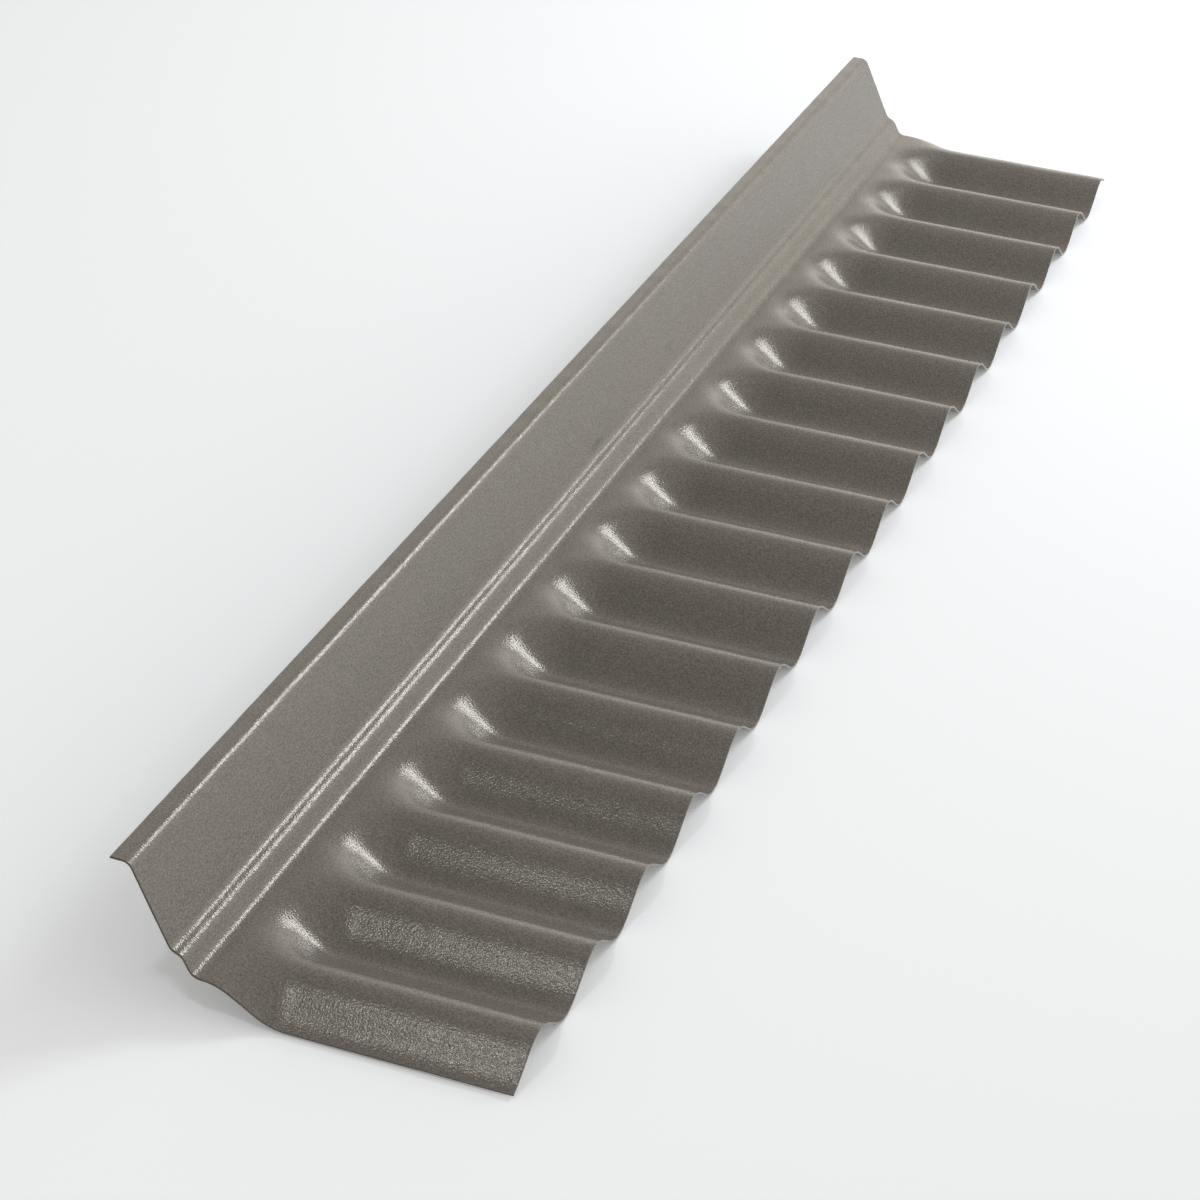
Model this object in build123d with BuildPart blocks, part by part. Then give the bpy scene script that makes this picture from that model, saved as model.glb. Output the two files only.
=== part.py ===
"""Wall flashing for a corrugated roof, pressed from one thin plastic sheet.

+X runs from the wall side to the free edge of the apron, +Y along the
flashing and +Z up. The sheet lies on its valleys at Z = 0, and the origin is
the middle of its footprint. All sizes are in millimetres.
"""

from build123d import *
from math import cos, pi, radians, sin, sqrt, tan
import os

# The sheet
sheet_thickness = 1.2

# The folded strip, from the lip down to the head of the apron
lip_width = 10.0
lip_bend_radius = 6.0
upstand_rise = 44.5
upstand_lean = 26.5
ledge_width = 5.6
ledge_fall = 2.3
ledge_bend_radius = 7.0
riser_height = 10.3
riser_lean = 30.0
crease_radius = 7.0
head_flat = 0.1

# The scoops: eased out of the head, a straight ramp, and eased into the wave. They
# start narrower than the troughs of the wave and widen to them
ease_in = 15.0
ramp = 12.2
ease_out = 18.0

# The corrugated apron
apron_width = 167.0
wave_length = 76.0
wave_depth = 17.0
crest_count = 17
crest_drop = 1.8
near_lead = 32.5
far_tail = 13.5

# Stations across a scoop, and points along the wave of one bay
scoop_stations = 7
wave_points = 9

# Sizes that follow
scoop_length = ease_in + ramp + ease_out
length = near_lead + (crest_count - 1) * wave_length + far_tail
near_end_y = -length / 2
first_crest_y = near_end_y + near_lead
valley_ys = [first_crest_y + (i - 0.5) * wave_length for i in range(crest_count + 1)]
upstand_run = upstand_rise * tan(radians(upstand_lean))
riser_run = riser_height * tan(radians(riser_lean))
crease_turn = radians(90 - riser_lean)
head_width = crease_radius * tan(crease_turn / 2) + head_flat
fold_width = lip_width + upstand_run + ledge_width + riser_run
overall_width = fold_width + apron_width
lip_tip_x = -overall_width / 2
crease_x = lip_tip_x + fold_width
scoop_start_x = crease_x + head_width
scoop_end_x = scoop_start_x + scoop_length
free_edge_x = crease_x + apron_width
head_z = crest_drop + wave_depth + sheet_thickness / 2
ramp_slope = 1 / (ease_in / 2 + ramp + ease_out / 2)


def clamp(value, low, high):
    """Value held between low and high."""
    return min(max(value, low), high)


def eased(run, ease):
    """Rise of a line of slope 1 at run, when its start at 0 is rounded over a length of ease."""
    return clamp(run, 0, ease) ** 2 / (2 * ease) + max(run - ease, 0)


def scoop_share(x):
    """Share of the full drop reached at x: 0 on the head, 1 on the apron, level at both ends."""
    run = x - scoop_start_x
    return ramp_slope * (eased(run, ease_in) - eased(run - ease_in - ramp, ease_out))


def scoop_share_slope(x):
    """Slope of scoop_share at x."""
    run = x - scoop_start_x
    start = clamp(run / ease_in, 0, 1)
    finish = clamp((run - ease_in - ramp) / ease_out, 0, 1)
    return ramp_slope * (start - finish)


def wave_share(y):
    """Share of the full wave's depth at y from the valley line: 1 in the valley, 0 on a crest."""
    return (1 + cos(2 * pi * y / wave_length)) / 2


def wave_share_slope(y):
    """Slope of wave_share at y."""
    return -pi / wave_length * sin(2 * pi * y / wave_length)


def hollow(scoop, wave):
    """Depth of the hollow from the two shares: the wave's where the scoop ends, narrower before."""
    return wave_depth * scoop * wave * (scoop + wave - scoop * wave)


def hollow_slope(share, other):
    """Slope of hollow as one of its two shares grows and the other stays."""
    return wave_depth * other * (2 * share + other - 2 * share * other)


def face_height(x, y, side):
    """Height of the upper (side 1) or lower (side -1) face, half a thickness off the middle.

    The half thickness is square to the sheet, so it stands taller where the sheet slopes.
    """
    scoop = scoop_share(x)
    wave = wave_share(y)
    slope_x = scoop_share_slope(x) * (crest_drop + hollow_slope(scoop, wave))
    slope_y = wave_share_slope(y) * hollow_slope(wave, scoop)
    half_stand = sheet_thickness / 2 * sqrt(1 + slope_x**2 + slope_y**2)
    return head_z - crest_drop * scoop - hollow(scoop, wave) + side * half_stand


def wave_line(x, side):
    """One face of the sheet across a bay at x, from crest to crest, level at both crests."""
    shares = [i / (wave_points - 1) for i in range(wave_points)]
    ys = [(share - 0.5) * wave_length for share in shares]
    points = [(y, face_height(x, y, side)) for y in ys]
    level = (wave_length, 0)
    return Edge.make_spline(points, tangents=[level, level], parameters=shares, scale=False)


def bay_section(x):
    """Cut through the sheet across one bay at x, in the plane square to X."""
    with BuildSketch(Plane.YZ.offset(x)) as section:
        with BuildLine():
            upper = wave_line(x, 1)
            lower = wave_line(x, -1)
            add([upper, lower])
            Line(upper @ 0, lower @ 0)
            Line(upper @ 1, lower @ 1)
        make_face()
    return section.sketch


# One bay of the apron: the scooped transition lofted from the flat head to the
# full wave, and the wave carried straight on to the free edge
with BuildPart() as bay:
    station_step = scoop_length / (scoop_stations - 1)
    stations = [scoop_start_x + i * station_step for i in range(scoop_stations)]
    loft([bay_section(x) for x in stations])
    extrude(bay_section(scoop_end_x), amount=free_edge_x - scoop_end_x)

# The whole flashing: the folded strip along its full length, and a bay at each
# valley, the first and last cut off square with the ends of the sheet
with BuildPart() as flashing:
    with BuildSketch(Plane.XZ.offset(-near_end_y)):
        with BuildLine() as fold_line:
            FilletPolyline(
                (lip_tip_x, head_z + riser_height + ledge_fall + upstand_rise),
                (lip_tip_x + lip_width, head_z + riser_height + ledge_fall + upstand_rise),
                (lip_tip_x + lip_width + upstand_run, head_z + riser_height + ledge_fall),
                (crease_x - riser_run, head_z + riser_height),
                (crease_x, head_z),
                (scoop_start_x, head_z),
                radius=[lip_bend_radius, ledge_bend_radius, ledge_bend_radius, crease_radius],
            )
        trace(fold_line.line, line_width=sheet_thickness)
    extrude(amount=-length)
    with Locations(*[(0, y, 0) for y in valley_ys]):
        add(bay.part)
    split(bisect_by=Plane.XZ.offset(-near_end_y), keep=Keep.BOTTOM)
    split(bisect_by=Plane.XZ.offset(near_end_y), keep=Keep.TOP)

flashing.part.label = "wall_flashing"

os.makedirs("parts", exist_ok=True)
export_step(flashing.part, "parts/wall_flashing.step")
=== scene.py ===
"""The dressed wall flashing, in metres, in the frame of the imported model.

One thin sheet is folded along its length into a lip, a leaning upstand, a
ledge and a crease. Its head then runs through scoops into a corrugated apron.
"""

import logging
import math
from dataclasses import dataclass, field
from enum import Enum

import bpy
import numpy as np
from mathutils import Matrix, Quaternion, Vector


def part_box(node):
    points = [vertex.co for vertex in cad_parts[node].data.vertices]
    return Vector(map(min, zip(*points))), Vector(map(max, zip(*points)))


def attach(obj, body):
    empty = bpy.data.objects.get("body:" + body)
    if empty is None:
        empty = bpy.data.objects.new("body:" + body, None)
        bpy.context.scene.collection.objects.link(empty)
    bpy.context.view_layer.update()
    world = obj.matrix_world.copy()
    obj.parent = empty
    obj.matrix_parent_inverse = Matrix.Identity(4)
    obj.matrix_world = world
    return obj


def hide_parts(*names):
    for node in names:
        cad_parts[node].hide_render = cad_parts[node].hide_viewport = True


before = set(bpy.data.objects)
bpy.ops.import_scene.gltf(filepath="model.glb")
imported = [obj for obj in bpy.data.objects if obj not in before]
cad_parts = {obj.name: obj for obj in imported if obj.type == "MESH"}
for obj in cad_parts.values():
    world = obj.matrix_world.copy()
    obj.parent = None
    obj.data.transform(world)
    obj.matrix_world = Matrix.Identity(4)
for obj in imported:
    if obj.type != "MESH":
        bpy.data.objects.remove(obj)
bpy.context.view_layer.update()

log = logging.getLogger("flashing")

# The sRGB curve: straight up to the knee, and a shifted power above it
SRGB_KNEE = 0.04045
SRGB_SLOPE = 12.92
SRGB_SHIFT = 0.055
SRGB_POWER = 2.4

# The Mix node's sockets for colours, which share their names with those for numbers
MIX_FIRST = 6
MIX_SECOND = 7
MIX_RESULT = 2


class Face(Enum):
    """The two faces of the sheet, as the sign of their offset from its middle."""

    UPPER = 1
    LOWER = -1


class Blend(Enum):
    """How a second colour is laid over a first, by Blender's names."""

    MIX = "MIX"
    MULTIPLY = "MULTIPLY"


class Sum(Enum):
    """What a Math node works out, by Blender's names."""

    SUBTRACT = "SUBTRACT"
    MULTIPLY = "MULTIPLY"
    MULTIPLY_ADD = "MULTIPLY_ADD"
    MAXIMUM = "MAXIMUM"
    LESS_THAN = "LESS_THAN"


@dataclass(frozen=True)
class Fold:
    """The line that the middle of the sheet follows across its width, seen from the near end.

    Each stretch is straight or a bend of one radius, so a stretch has one curvature.
    """

    lip_width: float = 0.0100
    lip_bend_radius: float = 0.0060
    upstand_rise: float = 0.0445
    upstand_lean: float = math.radians(26.5)
    ledge_width: float = 0.0056
    ledge_fall: float = 0.0023
    ledge_bend_radius: float = 0.0070
    riser_height: float = 0.0103
    riser_lean: float = math.radians(30.0)
    crease_radius: float = 0.0070
    head_width: float = 0.00414
    apron_width: float = 0.1670

    def corners(self) -> np.ndarray:
        """Sharp corners of the line before they are rounded.

        Returns:
            Rows of x and z, from the lip's tip to the free edge, with the tip at x = 0
            and the head of the apron at z = 0.
        """
        steps = np.array([
            (self.lip_width, 0.0),
            (self.upstand_rise * math.tan(self.upstand_lean), -self.upstand_rise),
            (self.ledge_width, -self.ledge_fall),
            (self.riser_height * math.tan(self.riser_lean), -self.riser_height),
            (self.apron_width, 0.0),
        ])
        line = np.vstack([np.zeros(2), np.cumsum(steps, axis=0)])
        line[:, 1] -= line[-1, 1]
        return line

    def stretches(self) -> tuple[np.ndarray, np.ndarray, np.ndarray]:
        """Straight runs and bends in turn, a bend being as long as its radius times its turn.

        Returns:
            The length and the curvature of each stretch, and the heading it starts with.
        """
        runs = np.diff(self.corners(), axis=0)
        headings = np.arctan2(runs[:, 1], runs[:, 0])
        turns = np.diff(headings)
        ledge = self.ledge_bend_radius
        radii = np.array([self.lip_bend_radius, ledge, ledge, self.crease_radius])
        cuts = np.pad(radii * np.tan(np.abs(turns) / 2), 1)
        lengths = np.empty(2 * len(runs) - 1)
        curvatures = np.zeros_like(lengths)
        lengths[::2] = np.hypot(*runs.T) - cuts[:-1] - cuts[1:]
        lengths[1::2] = radii * np.abs(turns)
        curvatures[1::2] = np.sign(turns) / radii
        return lengths, curvatures, np.repeat(headings, 2)[:-1]

    def at(self, s: np.ndarray) -> tuple[np.ndarray, np.ndarray, np.ndarray]:
        """Points of the rounded line at distances along it.

        From the start of its stretch a point is reached by a chord, which is the distance
        times sin(h) / h long and points along the stretch's first heading plus h, where h
        is half the turn made so far. On a straight run h is zero.

        Args:
            s: Distances from the lip's tip.

        Returns:
            x, z and heading at each distance.
        """
        lengths, curvatures, headings = self.stretches()
        starts = np.concatenate([[0.0], np.cumsum(lengths)[:-1]])
        half_turns = curvatures * lengths / 2
        chords = lengths * np.sinc(half_turns / np.pi)
        steps = chords * np.array([np.cos(headings + half_turns), np.sin(headings + half_turns)])
        tip = self.corners()[0]
        origins = tip[:, None] + np.pad(np.cumsum(steps, axis=1)[:, :-1], ((0, 0), (1, 0)))
        k = np.clip(np.searchsorted(starts, s, side="right") - 1, 0, len(starts) - 1)
        run = s - starts[k]
        half = curvatures[k] * run / 2
        chord = run * np.sinc(half / np.pi)
        x = origins[0, k] + chord * np.cos(headings[k] + half)
        z = origins[1, k] + chord * np.sin(headings[k] + half)
        return x, z, headings[k] + 2 * half


@dataclass(frozen=True)
class Waves:
    """The corrugation of the apron, and the scoops through which the flat head runs into it."""

    wave_length: float = 0.0760
    depth: float = 0.0170
    crest_drop: float = 0.0018
    near_lead: float = 0.0325
    ease_in: float = 0.0150
    ramp: float = 0.0122
    ease_out: float = 0.0180

    def scoop_length(self) -> float:
        """Length of a scoop, from the head to the full wave."""
        return self.ease_in + self.ramp + self.ease_out

    def scoop(self, x: np.ndarray) -> tuple[np.ndarray, np.ndarray]:
        """Share of the full drop that a scoop's middle has reached at x from the head.

        Its slope grows evenly over ease_in, keeps that value along the ramp and falls
        evenly to none over ease_out, so it is one rounded line less another. A line of
        slope 1 whose start is rounded over a length e stands, at a run r, at the square
        of r held within 0 and e, over 2e, plus what r has over e.

        Args:
            x: Distances from the end of the head.

        Returns:
            The share and its slope.
        """
        steepest = 1 / (self.ease_in / 2 + self.ramp + self.ease_out / 2)
        rise, slope = np.zeros_like(x), np.zeros_like(x)
        ramp_end = self.ease_in + self.ramp
        for sign, run, ease in ((1, x, self.ease_in), (-1, x - ramp_end, self.ease_out)):
            held = np.clip(run, 0.0, ease)
            rise += sign * (held**2 / (2 * ease) + np.maximum(run - ease, 0.0))
            slope += sign * held / ease
        return steepest * rise, steepest * slope

    def wave(self, y: np.ndarray) -> tuple[np.ndarray, np.ndarray]:
        """Share of the full wave's depth at y, a cosine: 0 on a crest and 1 in a valley.

        Args:
            y: Distances from the near end.

        Returns:
            The share and its slope.
        """
        phase = 2 * np.pi * (y - self.near_lead) / self.wave_length
        return (1 - np.cos(phase)) / 2, np.pi / self.wave_length * np.sin(phase)

    def drop(self, x: np.ndarray, y: np.ndarray) -> tuple[np.ndarray, np.ndarray, np.ndarray]:
        """Drop of the sheet below the head.

        With s and w for the scoop's share and the wave's, a crest drops by s times
        crest_drop, and the hollow beside it is s * w * (s + w - s * w) times the depth.
        So it is the full wave where the scoop ends, and narrower before.

        Args:
            x: Distances from the end of the head, as a column.
            y: Distances from the near end, as a row.

        Returns:
            The drop, and its slopes along x and along y.
        """
        scoop, scoop_slope = self.scoop(x)
        wave, wave_slope = self.wave(y)
        both = scoop * wave
        drop = self.crest_drop * scoop + self.depth * both * (scoop + wave - both)
        by_scoop = self.crest_drop + self.depth * wave * (2 * scoop + wave - 2 * both)
        by_wave = self.depth * scoop * (2 * wave + scoop - 2 * both)
        return drop, scoop_slope * by_scoop, wave_slope * by_wave


@dataclass(frozen=True)
class Unevenness:
    """Slight unevenness of a pressed sheet, a sum of long low waves in seeded directions."""

    height: float = 0.00006
    shortest: float = 0.018
    longest: float = 0.070
    count: int = 40
    seed: int = 11

    def rise(self, s: np.ndarray, y: np.ndarray) -> np.ndarray:
        """Height of the unevenness on the flattened sheet, about `height` as a mean square root.

        Args:
            s: Distances across the sheet from the lip's tip.
            y: Distances along it.

        Returns:
            One height for each pair of s and y.
        """
        draw = np.random.default_rng(self.seed)
        length = np.exp(draw.uniform(np.log(self.shortest), np.log(self.longest), self.count))
        turn = draw.uniform(0, 2 * np.pi, self.count)
        phase = draw.uniform(0, 2 * np.pi, self.count)
        rise = np.zeros(np.broadcast(s, y).shape)
        for number, along, start in zip(2 * np.pi / length, turn, phase):
            rise += np.cos(number * (s * math.cos(along) + y * math.sin(along)) + start)
        return rise * self.height * math.sqrt(2 / self.count)


class Graph:
    """The nodes of one material or world, added and joined in the order of their use."""

    def __init__(self, owner: bpy.types.Material | bpy.types.World) -> None:
        """Clears the owner's nodes.

        Args:
            owner: The material or world that the nodes belong to.
        """
        owner.use_nodes = True
        self.nodes = owner.node_tree.nodes
        self.links = owner.node_tree.links
        self.nodes.clear()

    def add(self, kind: str, inputs: dict[str | int, object],
            **settings: object) -> bpy.types.Node:
        """Adds a node.

        Args:
            kind: The node's type name, without its ShaderNode prefix.
            inputs: Values or sockets by the input's name or index.
            **settings: Values of the node's own properties.

        Returns:
            The new node.
        """
        node = self.nodes.new("ShaderNode" + kind)
        for name, value in settings.items():
            setattr(node, name, value)
        for key, value in inputs.items():
            if isinstance(value, bpy.types.NodeSocket):
                self.links.new(value, node.inputs[key])
            else:
                node.inputs[key].default_value = value
        return node

    def place(self) -> bpy.types.NodeSocket:
        """Place on the piece, in metres."""
        return self.add("TexCoord", {}).outputs["Object"]

    def noise(self, place: bpy.types.NodeSocket, size: float,
              detail: float) -> bpy.types.NodeSocket:
        """Cloudy noise with features of about `size` metres."""
        inputs = {"Vector": place, "Scale": 1 / size, "Detail": detail}
        return self.add("TexNoise", inputs).outputs["Fac"]

    def math(self, operation: Sum, *values: object) -> bpy.types.NodeSocket:
        """One Math node on two or three values or sockets."""
        return self.add("Math", dict(enumerate(values)), operation=operation.value).outputs[0]

    def span(self, value: bpy.types.NodeSocket, source: tuple[float, float],
             target: tuple[float, float]) -> bpy.types.NodeSocket:
        """Carries `value` smoothly from one range to another, and holds it at their ends."""
        inputs = {"Value": value, "From Min": source[0], "From Max": source[1],
                  "To Min": target[0], "To Max": target[1]}
        return self.add("MapRange", inputs, interpolation_type="SMOOTHSTEP").outputs["Result"]

    def blend(self, share: object, first: object, second: object,
              how: Blend = Blend.MIX) -> bpy.types.NodeSocket:
        """Lays a second colour over a first.

        Args:
            share: How much of the second counts, from 0 to 1.
            first: The colour below, or its socket.
            second: The colour above, or its socket.
            how: How the two are put together.

        Returns:
            The new colour's socket.
        """
        inputs = {"Factor": share, MIX_FIRST: first, MIX_SECOND: second}
        node = self.add("Mix", inputs, data_type="RGBA", blend_type=how.value)
        return node.outputs[MIX_RESULT]

    def bump(self, height: bpy.types.NodeSocket, distance: float) -> bpy.types.NodeSocket:
        """Normal with relief `distance` metres high."""
        inputs = {"Height": height, "Distance": distance, "Strength": 1.0}
        return self.add("Bump", inputs).outputs["Normal"]


def linear(level: float) -> float:
    """Linear level of one colour channel, by the sRGB curve.

    Args:
        level: The channel as the eye reads it, from 0 to 1.

    Returns:
        The linear level, from 0 to 1.
    """
    if level <= SRGB_KNEE:
        return level / SRGB_SLOPE
    return ((level + SRGB_SHIFT) / (1 + SRGB_SHIFT)) ** SRGB_POWER


def opaque(red: float, green: float, blue: float) -> tuple[float, float, float, float]:
    """Linear colour for a socket, from the sRGB colour that the eye reads.

    Args:
        red: Red, from 0 to 1.
        green: Green, from 0 to 1.
        blue: Blue, from 0 to 1.

    Returns:
        Linear red, green and blue, and an alpha of 1.
    """
    return linear(red), linear(green), linear(blue), 1.0


@dataclass(frozen=True)
class Scuff:
    """A dark rubbed mark, longest along the sheet.

    `solid` is the share of the reach within which it is full, and the noise that breaks
    it into blots goes from bare to marked across `blot_range`.
    """

    centre: tuple[float, float, float]
    reach: tuple[float, float, float]
    depth: float
    solid: float = 0.3
    blot_size: float = 0.0028
    blot_detail: float = 2.0
    blot_range: tuple[float, float] = (0.32, 0.55)

    def share(self, graph: Graph) -> bpy.types.NodeSocket:
        """Share of darkening: full in the middle, in blots, and none outside the reach.

        Args:
            graph: The nodes that it is added to.

        Returns:
            The share, from 0 to the mark's depth.
        """
        scale = tuple(1 / size for size in self.reach)
        shift = tuple(-place / size for place, size in zip(self.centre, self.reach))
        point = graph.place()
        inside = graph.add("Mapping", {"Vector": point, "Location": shift, "Scale": scale})
        far = graph.add("VectorMath", {0: inside.outputs["Vector"]}, operation="LENGTH")
        fall = graph.span(far.outputs["Value"], (self.solid, 1.0), (self.depth, 0.0))
        cloud = graph.noise(point, self.blot_size, self.blot_detail)
        blots = graph.span(cloud, self.blot_range, (0.0, 1.0))
        return graph.math(Sum.MULTIPLY, fall, blots)


@dataclass(frozen=True)
class SheetFinish:
    """Semi-gloss grey-brown plastic with a fine pebbled grain and a slightly warm sheen.

    `fleck_share` is how much the flecks darken and lighten the tone, where their noise
    goes across `fleck_range`. The cut colour is painted shade, laid along the near end's cut edge
    over the band's width.
    """

    dark: tuple[float, float, float] = (0.425, 0.414, 0.401)
    light: tuple[float, float, float] = (0.451, 0.439, 0.424)
    # Painted shade: the darker colour laid on the cut edge, only at the near end
    cut: tuple[float, float, float] = (0.30, 0.28, 0.26)
    sheen: tuple[float, float, float] = (1.0, 0.985, 0.955)
    roughness: float = 0.20
    pebble_size: float = 0.0012
    pebble_height: float = 0.00020
    pebble_detail: float = 1.5
    fleck_size: float = 0.0011
    fleck_detail: float = 1.0
    fleck_range: tuple[float, float] = (0.2, 0.8)
    fleck_share: float = 0.32
    tone_size: float = 0.12
    tone_detail: float = 2.0
    # Width of the painted shade along the near end's cut edge
    near_shade_band: float = 0.0015
    scuffs: tuple[Scuff, ...] = (
        Scuff(centre=(-0.0758, -0.031, 0.0371), reach=(0.0035, 0.015, 0.0035), depth=0.35),
        Scuff(centre=(-0.0800, 0.114, 0.0440), reach=(0.0035, 0.011, 0.0035), depth=0.18),
    )

    def material(self, near_end: float) -> bpy.types.Material:
        """Builds the finish from noise on the piece's own place.

        Flecks lighten and darken the slowly changing tone, the scuffs darken it, painted shade
        darkens the cut edge at the near end, and the pebbled relief breaks up the sheen.

        Args:
            near_end: Where the near end of the sheet stands, along it.

        Returns:
            The material for the whole sheet.
        """
        made = bpy.data.materials.new("semi_gloss_sheet")
        graph = Graph(made)
        place = graph.place()
        tone = graph.noise(place, self.tone_size, self.tone_detail)
        colour = graph.blend(tone, opaque(*self.dark), opaque(*self.light))
        flecks = graph.noise(place, self.fleck_size, self.fleck_detail)
        gains = (1 - self.fleck_share, 1 + self.fleck_share)
        gain = graph.span(flecks, self.fleck_range, gains)
        for scuff in self.scuffs:
            left = graph.math(Sum.SUBTRACT, 1.0, scuff.share(graph))
            gain = graph.math(Sum.MULTIPLY, gain, left)
        grey = graph.add("CombineXYZ", {"X": gain, "Y": gain, "Z": gain}).outputs["Vector"]
        colour = graph.blend(1.0, colour, grey, Blend.MULTIPLY)
        # Painted shade: the rounded cut edge at the near end takes the darker cut colour
        along = graph.add("SeparateXYZ", {0: place}).outputs["Y"]
        rim = graph.add("Attribute", {}, attribute_name="cut").outputs["Fac"]
        near = graph.math(Sum.LESS_THAN, along, near_end + self.near_shade_band)
        cut = graph.math(Sum.MULTIPLY, rim, near)
        colour = graph.blend(cut, colour, opaque(*self.cut))
        grain = graph.noise(place, self.pebble_size, self.pebble_detail)
        shader = graph.add("BsdfPrincipled", {
            "Base Color": colour,
            "Specular Tint": opaque(*self.sheen),
            "Roughness": self.roughness,
            "Normal": graph.bump(grain, self.pebble_height),
        })
        graph.add("OutputMaterial", {"Surface": shader.outputs["BSDF"]})
        return made


@dataclass
class Sheet:
    """The flashing itself, one closed shell with a quarter round along its cut edges.

    `hold` is how far the next line of points stays from an edge or a bend, so that the
    shading there stays crisp.
    """

    fold: Fold = field(default_factory=Fold)
    waves: Waves = field(default_factory=Waves)
    unevenness: Unevenness = field(default_factory=Unevenness)
    finish: SheetFinish = field(default_factory=SheetFinish)
    thickness: float = 0.0012
    edge_round: float = 0.00025
    hold: float = 0.0006
    round_steps: int = 3
    bend_steps: int = 9
    flat_steps: int = 4
    apron_steps: int = 8
    scoop_steps: int = 28
    rows_per_wave: int = 24

    def insets(self) -> np.ndarray:
        """Distances from a cut edge at which the quarter round and the row that holds it lie."""
        turn = np.linspace(0, np.pi / 2, self.round_steps + 1)
        return np.append(self.edge_round * (1 - np.cos(turn)), self.edge_round + self.hold)

    def between(self, start: float, end: float, steps: int) -> np.ndarray:
        """Even places from start to end, both left out, with one more close to each end."""
        inner = np.linspace(start, end, steps + 1)[1:-1]
        return np.concatenate([[start + self.hold], inner, [end - self.hold]])

    def columns(self) -> np.ndarray:
        """Places across the sheet: its edges, its bends, the scoops and the flats between.

        Returns:
            Distances from the lip's tip, in order.
        """
        lengths = self.fold.stretches()[0]
        joints = np.concatenate([[0.0], np.cumsum(lengths)])
        width = joints[-1]
        head = width - self.fold.apron_width + self.fold.head_width
        scoop = np.linspace(head, head + self.waves.scoop_length(), self.scoop_steps + 1)
        bends = [
            np.linspace(start, end, self.bend_steps + 1)
            for start, end in zip(joints[1:-1:2], joints[2::2])
        ]
        flats = [
            self.between(start, end, self.flat_steps)
            for start, end in zip(joints[2:-2:2], joints[3:-1:2])
        ]
        edge = self.insets()
        lip = np.linspace(edge[-1], joints[1] - self.hold, self.flat_steps)[1:]
        apron = np.linspace(scoop[-1], width - edge[-1], self.apron_steps + 1)[1:-1]
        return np.sort(np.concatenate([edge, lip, *bends, *flats, scoop, apron, width - edge]))

    def rows(self, length: float) -> np.ndarray:
        """Places along the sheet, evenly spaced between the two cut ends.

        Args:
            length: Length of the sheet.

        Returns:
            Distances from the near end, in order.
        """
        edge = self.insets()
        steps = round(length / self.waves.wave_length * self.rows_per_wave)
        inner = np.linspace(edge[-1], length - edge[-1], steps + 1)[1:-1]
        return np.concatenate([edge, inner, (length - edge)[::-1]])

    def middle(self, s: np.ndarray, y: np.ndarray) -> tuple[np.ndarray, np.ndarray]:
        """Middle of the sheet and its normal.

        A point stands where the fold line is at s, lowered by the drop of the waves. The
        normal is the cross product of the slopes along s and along y, and the unevenness
        moves the point along it.

        Args:
            s: Distances across the sheet, as a column.
            y: Distances along it, as a row.

        Returns:
            Points and unit normals, as grids of x, y and z.
        """
        x, z, heading = self.fold.at(s)
        head_end = self.fold.corners()[-2, 0] + self.fold.head_width
        drop, drop_x, drop_y = self.waves.drop(x - head_end, y)
        across = np.cos(heading)
        climb = np.sin(heading) - drop_x * across
        normal = np.stack(np.broadcast_arrays(-climb, across * drop_y, across), axis=-1)
        normal /= np.linalg.norm(normal, axis=-1, keepdims=True)
        point = np.stack(np.broadcast_arrays(x, y, z - drop), axis=-1)
        point += self.unevenness.rise(s, y)[..., None] * normal
        return point, normal

    def faces(self, length: float) -> tuple[np.ndarray, np.ndarray]:
        """Both faces, half a thickness off the middle, and less towards the cut edges.

        Within the quarter round, at d from the nearest edge, the offset is half the
        thickness less the radius, plus the root of the radius squared less (radius - d)
        squared.

        Args:
            length: Length of the sheet.

        Returns:
            Points, as a grid of face, column, row and coordinate, and how far each point
            is round the edge: 1 on the cut, 0 on the faces.
        """
        s = self.columns()[:, None]
        y = self.rows(length)[None, :]
        point, normal = self.middle(s, y)
        from_edge = np.minimum(np.minimum(s, s.max() - s), np.minimum(y, y.max() - y))
        short = np.clip(self.edge_round - from_edge, 0.0, self.edge_round)
        offset = self.thickness / 2 - self.edge_round + np.sqrt(self.edge_round**2 - short**2)
        sides = [point + face.value * offset[..., None] * normal for face in Face]
        return np.stack(sides), short / self.edge_round

    def quads(self, columns: int, rows: int) -> np.ndarray:
        """Corner numbers of every quad, facing outwards.

        The upper face turns with the columns and rows, the lower one against them, and a
        wall of quads joins the two along the outer ring.

        Args:
            columns: Number of columns in each face.
            rows: Number of rows in each face.

        Returns:
            Rows of four vertex numbers.
        """
        count = columns * rows
        upper = np.arange(count).reshape(columns, rows)
        turn = (upper[:-1, :-1], upper[1:, :-1], upper[1:, 1:], upper[:-1, 1:])
        top = np.stack(turn, axis=-1).reshape(-1, 4)
        bottom = top[:, ::-1] + count
        ring = np.concatenate([upper[:-1, 0], upper[-1, :-1], upper[:0:-1, -1], upper[0, :0:-1]])
        following = np.roll(ring, -1)
        wall = np.stack([following, ring, ring + count, following + count], axis=-1)
        return np.vstack([top, bottom, wall])

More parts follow.
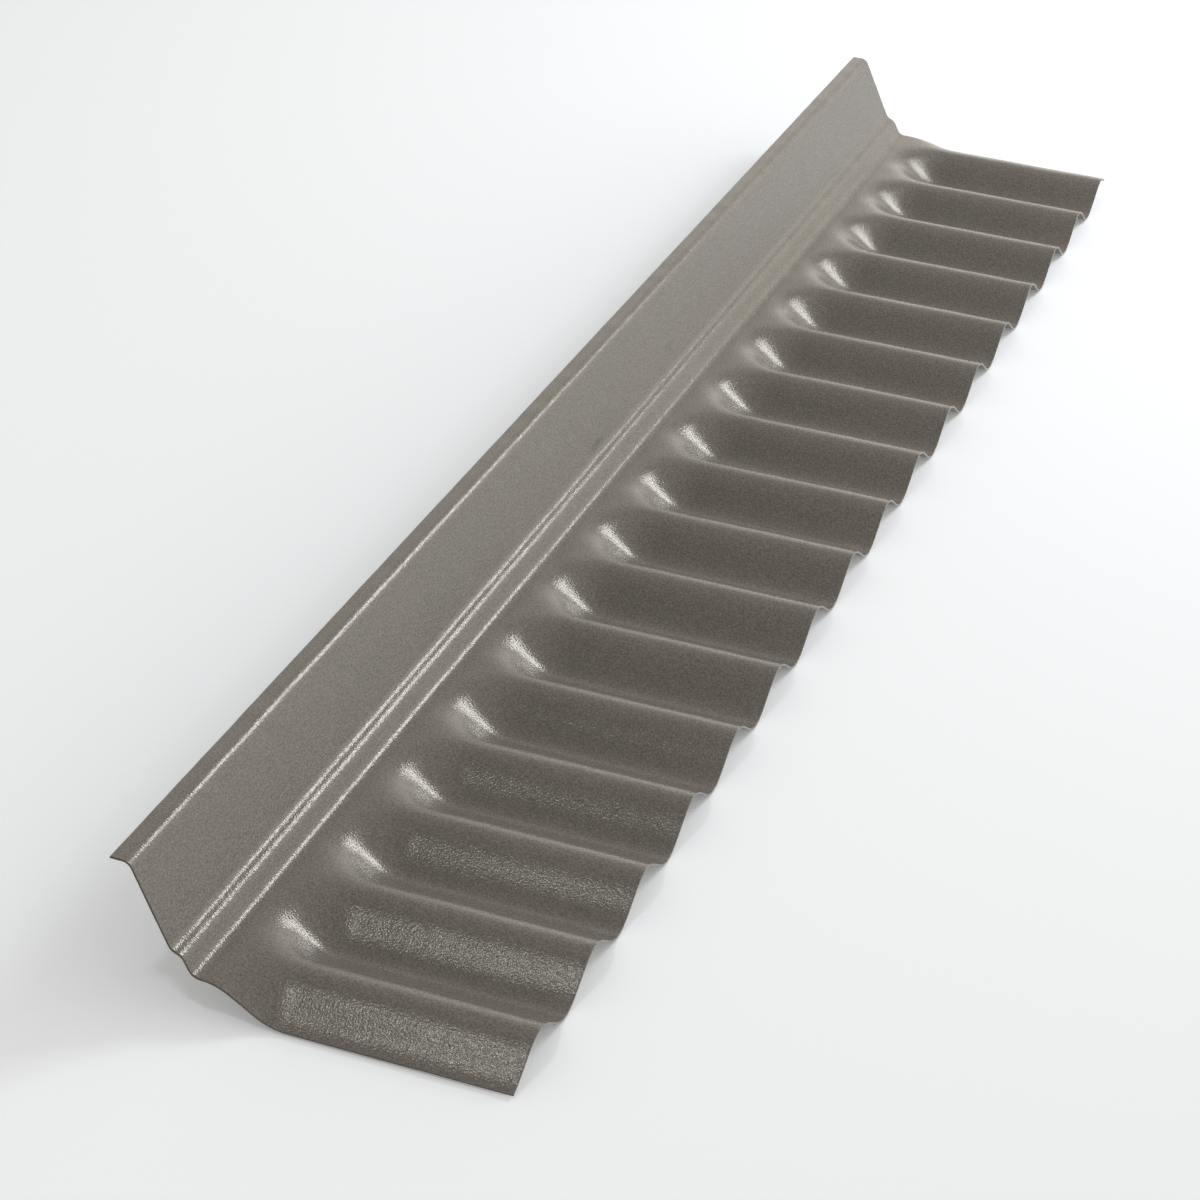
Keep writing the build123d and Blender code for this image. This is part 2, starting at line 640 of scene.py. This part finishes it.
    def build(self, node: str) -> bpy.types.Object:
        """Makes the sheet where its CAD node stands.

        Args:
            node: The CAD node that the sheet stands for.

        Returns:
            The new piece.
        """
        low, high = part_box(node)
        points, cut = self.faces(high.y - low.y)
        lift = high.z - self.thickness / 2 - self.fold.corners()[0, 1]
        points += np.array([low.x, low.y, lift])
        mesh = bpy.data.meshes.new("pressed_sheet")
        quads = self.quads(*cut.shape)
        mesh.from_pydata(points.reshape(-1, 3).tolist(), [], quads.tolist())
        attribute = mesh.attributes.new("cut", "FLOAT", "POINT")
        attribute.data.foreach_set("value", np.tile(cut.ravel(), 2).astype(np.float32))
        mesh.polygons.foreach_set("use_smooth", np.ones(len(quads), bool))
        mesh.update()
        piece = bpy.data.objects.new("pressed_sheet", mesh)
        bpy.context.scene.collection.objects.link(piece)
        log.info("pressed_sheet: %d points, %d quads", len(mesh.vertices), len(quads))
        return piece

    def dress(self, piece: bpy.types.Object, node: str) -> None:
        """Gives the sheet its finish and its place in the frame.

        Args:
            piece: The sheet's object.
            node: The CAD node that it stands for.
        """
        near_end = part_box(node)[0].y
        piece.data.materials.append(self.finish.material(near_end))
        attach(piece, "root")
        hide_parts(node)


@dataclass(frozen=True)
class Viewpoint:
    """The camera, placed by its angle round the point that it is aimed at.

    Its azimuth goes from -Y towards +X. It sees nothing nearer than `clip`.
    """

    aim: tuple[float, float, float] = (-0.0249, -0.1575, 0.0)
    distance: float = 2.0094
    azimuth: float = math.radians(18.35)
    elevation: float = math.radians(28.87)
    roll: float = math.radians(3.74)
    picture_pixels: float = 1200.0
    focal_pixels: float = 3356.0
    clip: float = 0.05

    def build(self) -> None:
        """Makes the camera and sets it as the scene's own."""
        flat = math.cos(self.elevation)
        back = Vector((
            math.sin(self.azimuth) * flat,
            -math.cos(self.azimuth) * flat,
            math.sin(self.elevation),
        ))
        lens = bpy.data.cameras.new("camera")
        lens.lens = lens.sensor_width * self.focal_pixels / self.picture_pixels
        lens.clip_start = self.clip
        camera = bpy.data.objects.new("camera", lens)
        level = (-back).to_track_quat("-Z", "Y")
        camera.rotation_mode = "QUATERNION"
        camera.rotation_quaternion = level @ Quaternion((0, 0, 1), self.roll)
        camera.location = Vector(self.aim) + back * self.distance
        bpy.context.scene.collection.objects.link(camera)
        bpy.context.scene.camera = camera
        log.info("camera: lens %.1f mm", lens.lens)


@dataclass(frozen=True)
class Softbox:
    """A rectangular lamp that faces the middle of the sheet.

    Its azimuth goes from +Y towards +X.
    """

    name: str
    azimuth: float
    elevation: float
    distance: float
    width: float
    height: float
    brightness: float

    def build(self) -> None:
        """Hangs the lamp. Its power is its brightness times pi times its area."""
        flat = math.cos(self.elevation)
        out = Vector((
            math.sin(self.azimuth) * flat,
            math.cos(self.azimuth) * flat,
            math.sin(self.elevation),
        ))
        data = bpy.data.lights.new(self.name, "AREA")
        data.shape = "RECTANGLE"
        data.size = self.width
        data.size_y = self.height
        data.energy = self.brightness * math.pi * self.width * self.height
        lamp = bpy.data.objects.new(self.name, data)
        lamp.location = out * self.distance
        lamp.rotation_mode = "QUATERNION"
        lamp.rotation_quaternion = out.to_track_quat("Z", "Y")
        bpy.context.scene.collection.objects.link(lamp)
        log.info("%s: %.1f W", self.name, data.energy)


@dataclass(frozen=True)
class Studio:
    """The pale floor, the surround and the lamps.

    The surround's level goes from `horizon` to `overhead` while the height of its
    direction goes across `fade`. It leans by a share across and along the sheet.
    """

    floor_colour: tuple[float, float, float] = (0.925, 0.95, 0.985)
    floor_half: float = 40.0
    floor_gap: float = 0.0002
    horizon: float = 1.03
    overhead: float = 0.43
    fade: tuple[float, float] = (0.25, 0.75)
    lean_across: float = 0.35
    lean_along: float = 0.30
    floor_glow: float = 0.18
    warmth: tuple[float, float, float] = (1.0, 0.973, 0.925)
    softboxes: tuple[Softbox, ...] = (
        Softbox(
            "rear_softbox", azimuth=math.radians(29.7), elevation=math.radians(37.4),
            distance=2.06, width=0.72, height=0.62, brightness=12.0,
        ),
        Softbox(
            "back_panel", azimuth=math.radians(-10), elevation=math.radians(9),
            distance=2.5, width=1.6, height=0.55, brightness=0.4,
        ),
        Softbox(
            "front_softbox", azimuth=math.radians(-164.6), elevation=math.radians(51.4),
            distance=1.55, width=0.13, height=0.13, brightness=30.0,
        ),
    )

    def build_floor(self) -> None:
        """Lays a flat floor just under the sheet, seen and mirrored a little whiter than lit."""
        corner = np.array([(-1, -1, 0), (1, -1, 0), (1, 1, 0), (-1, 1, 0)], float)
        points = corner * self.floor_half - (0, 0, self.floor_gap)
        mesh = bpy.data.meshes.new("floor")
        mesh.from_pydata(points.tolist(), [], [(0, 1, 2, 3)])
        made = bpy.data.materials.new("pale_floor")
        graph = Graph(made)
        matt = graph.add("BsdfDiffuse", {"Color": opaque(*self.floor_colour)}).outputs["BSDF"]
        rays = graph.add("LightPath", {}).outputs
        seen = graph.math(Sum.MAXIMUM, rays["Is Camera Ray"], rays["Is Glossy Ray"])
        seen = graph.math(Sum.MAXIMUM, seen, rays["Is Transmission Ray"])
        glow = graph.add("Emission", {"Strength": graph.math(Sum.MULTIPLY, seen, self.floor_glow)})
        shader = graph.add("AddShader", {0: matt, 1: glow.outputs["Emission"]})
        graph.add("OutputMaterial", {"Surface": shader.outputs["Shader"]})
        mesh.materials.append(made)
        floor = bpy.data.objects.new("floor", mesh)
        bpy.context.scene.collection.objects.link(floor)
        log.info("floor: %.0f m across", 2 * self.floor_half)

    def build_surround(self) -> None:
        """Lights the world: brightest at the horizon, and brighter towards +X and +Y."""
        world = bpy.data.worlds.new("surround")
        bpy.context.scene.world = world
        graph = Graph(world)
        direction = graph.add("TexCoord", {}).outputs["Generated"]
        along = graph.add("SeparateXYZ", {0: direction}).outputs
        level = graph.span(along["Z"], self.fade, (self.horizon, self.overhead))
        across_gain = graph.math(Sum.MULTIPLY_ADD, along["X"], self.lean_across, 1.0)
        gain = graph.math(Sum.MULTIPLY_ADD, along["Y"], self.lean_along, across_gain)
        strength = graph.math(Sum.MULTIPLY, level, gain)
        shader = graph.add("Background", {"Color": opaque(*self.warmth), "Strength": strength})
        graph.add("OutputWorld", {"Surface": shader.outputs["Background"]})

    def build(self) -> None:
        """Builds the floor, the surround and every lamp."""
        self.build_floor()
        self.build_surround()
        for softbox in self.softboxes:
            softbox.build()
        bpy.context.scene.view_settings.view_transform = "Standard"
        log.info("studio: %d lamps", len(self.softboxes))


def main() -> None:
    """Builds the camera, the sheet and the studio."""
    logging.basicConfig(level=logging.INFO, format="%(message)s")
    Viewpoint().build()
    sheet = Sheet()
    piece = sheet.build("wall_flashing")
    sheet.dress(piece, "wall_flashing")
    Studio().build()


if __name__ == "__main__":
    main()
